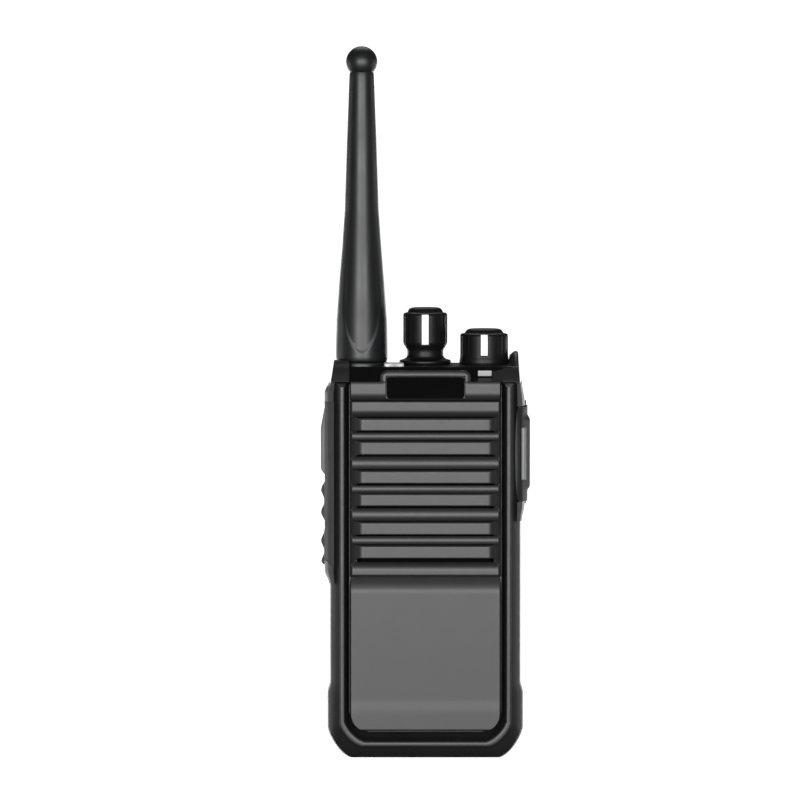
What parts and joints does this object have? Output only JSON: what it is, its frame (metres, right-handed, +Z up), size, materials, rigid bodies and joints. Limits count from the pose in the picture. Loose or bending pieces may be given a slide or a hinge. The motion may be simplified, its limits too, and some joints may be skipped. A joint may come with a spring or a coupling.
{
  "type": "handheld two-way radio",
  "caption": "Handheld two-way radio with ribbed speaker grille, whip antenna, top knobs, side keys, accessory cover, slide-off battery pack and sprung belt clip.",
  "frame": {"origin": "centre of the bounding box at the base the radio stands on", "axes": "+Z up along the antenna, the speaker grille faces -Y, the antenna stands on the -X side"},
  "size_m": [0.0622, 0.043, 0.2134],
  "materials": {
    "casing_plastic": "fine moulded texture, black",
    "panel_plastic": "satin dark grey",
    "gloss_black": "polished black, blank",
    "knob_plastic": "satin black",
    "rubber": "matte black",
    "antenna_rubber": "satin black",
    "white_plastic": "white inlay",
    "pale_plastic": "pale grey",
    "light_pipe": "translucent light pipe",
    "speaker_paper": "black doped paper",
    "mesh_cloth": "fine black acoustic cloth",
    "circuit_board": "green solder mask",
    "aluminium": "die-cast",
    "steel": "plated",
    "brass": "gold-plated",
    "cell_wrap": "wrapped lithium cell, near the density of aluminium"
  },
  "bodies": {
    "radio": {"accessory_bezel": "casing_plastic", "accessory_socket": "rubber", "antenna_connector": "brass", "badge_plate": "gloss_black", "channel_encoder": "steel", "channel_nut": "brass", "chassis": "aluminium", "clip_bracket": "casing_plastic", "clip_pin": "steel", "clip_screw_left": "steel", "clip_screw_right": "steel", "clip_spring": "steel", "contact_block": "casing_plastic", "cover_pin": "steel", "front_housing": "casing_plastic", "front_panel": "panel_plastic", "housing_screw_left": "steel", "housing_screw_right": "steel", "housing_seal": "rubber", "index_mark": "pale_plastic", "key_surround": "rubber", "latch_spring": "steel", "led_lens": "light_pipe", "main_pcb": "circuit_board", "microphone": "aluminium", "ptt_bezel": "casing_plastic", "ptt_board": "circuit_board", "ptt_switch": "steel", "rear_cover": "casing_plastic", "rf_shield": "steel", "side_switch_lower": "steel", "side_switch_upper": "steel", "speaker_cone": "speaker_paper", "speaker_frame": "steel", "speaker_mesh": "mesh_cloth", "volume_control": "steel", "volume_nut": "brass"},
    "channel_knob": {"channel_knob": "knob_plastic", "channel_marker": "white_plastic", "channel_shaft": "steel"},
    "volume_knob": {"volume_knob": "knob_plastic", "volume_marker": "white_plastic", "volume_shaft": "steel"},
    "antenna_lift": {"antenna_seal": "rubber"},
    "antenna": {"antenna_sheath": "antenna_rubber", "antenna_coil": "brass", "antenna_plug": "brass"},
    "ptt_button": {"ptt_button": "rubber"},
    "side_key_upper": {"side_key_upper": "rubber"},
    "side_key_lower": {"side_key_lower": "rubber"},
    "accessory_cover": {"accessory_cover": "casing_plastic", "cover_insert": "pale_plastic"},
    "battery": {"battery_case": "casing_plastic", "battery_lid": "casing_plastic", "battery_cell_lower": "cell_wrap", "battery_cell_upper": "cell_wrap", "battery_board": "circuit_board", "battery_contacts": "brass"},
    "latch_button": {"latch_button": "casing_plastic"},
    "belt_clip": {"clip_lever": "casing_plastic"}
  },
  "joints": [
    {"name": "channel_turn", "type": "hinge", "parent": "radio", "child": "channel_knob", "pos_m": [0, -0.0065, 0.12], "axis": [0, 0, -1], "range_deg": [0, 337.5]},
    {"name": "volume_turn", "type": "hinge", "parent": "radio", "child": "volume_knob", "pos_m": [0.0177, -0.0065, 0.12], "axis": [0, 0, -1], "range_deg": [0, 270]},
    {"name": "antenna_rise", "type": "slide", "parent": "radio", "child": "antenna_lift", "axis": [0, 0, 1], "range_m": [0, 0.00494]},
    {"name": "antenna_turn", "type": "hinge", "parent": "antenna_lift", "child": "antenna", "pos_m": [-0.0191, -0.0065, 0.118], "axis": [0, 0, 1], "range_deg": [0, 2520]},
    {"name": "ptt_press", "type": "slide", "parent": "radio", "child": "ptt_button", "axis": [1, 0, 0], "range_m": [0, 0.001], "stiffness_N_per_m": 2000, "springref_m": -0.0005},
    {"name": "side_key_upper_press", "type": "slide", "parent": "radio", "child": "side_key_upper", "axis": [1, 0, 0], "range_m": [0, 0.0007], "stiffness_N_per_m": 2500, "springref_m": -0.0004},
    {"name": "side_key_lower_press", "type": "slide", "parent": "radio", "child": "side_key_lower", "axis": [1, 0, 0], "range_m": [0, 0.0007], "stiffness_N_per_m": 2500, "springref_m": -0.0004},
    {"name": "cover_swing", "type": "hinge", "parent": "radio", "child": "accessory_cover", "pos_m": [0.0299, -0.0062, 0.0915], "axis": [0, 0, 1], "range_deg": [0, 100]},
    {"name": "battery_slide", "type": "slide", "parent": "radio", "child": "battery", "axis": [0, 0, -1], "range_m": [0, 0.1], "deforming": ["latch_spring"]},
    {"name": "latch_press", "type": "slide", "parent": "radio", "child": "latch_button", "axis": [0, -1, 0], "range_m": [0, 0.0015], "stiffness_N_per_m": 1500, "springref_m": -0.0007, "deforming": ["latch_spring"]},
    {"name": "clip_open", "type": "hinge", "parent": "radio", "child": "belt_clip", "pos_m": [0, 0.0184, 0.111], "axis": [1, 0, 0], "range_deg": [0, 20], "stiffness_Nm_per_rad": 0.5, "springref_deg": -11.46, "deforming": ["clip_spring"]}
  ],
  "couplings": [
    {"joint": "antenna_turn", "follows": "antenna_rise", "rad_per_m": 8903.3}
  ]
}
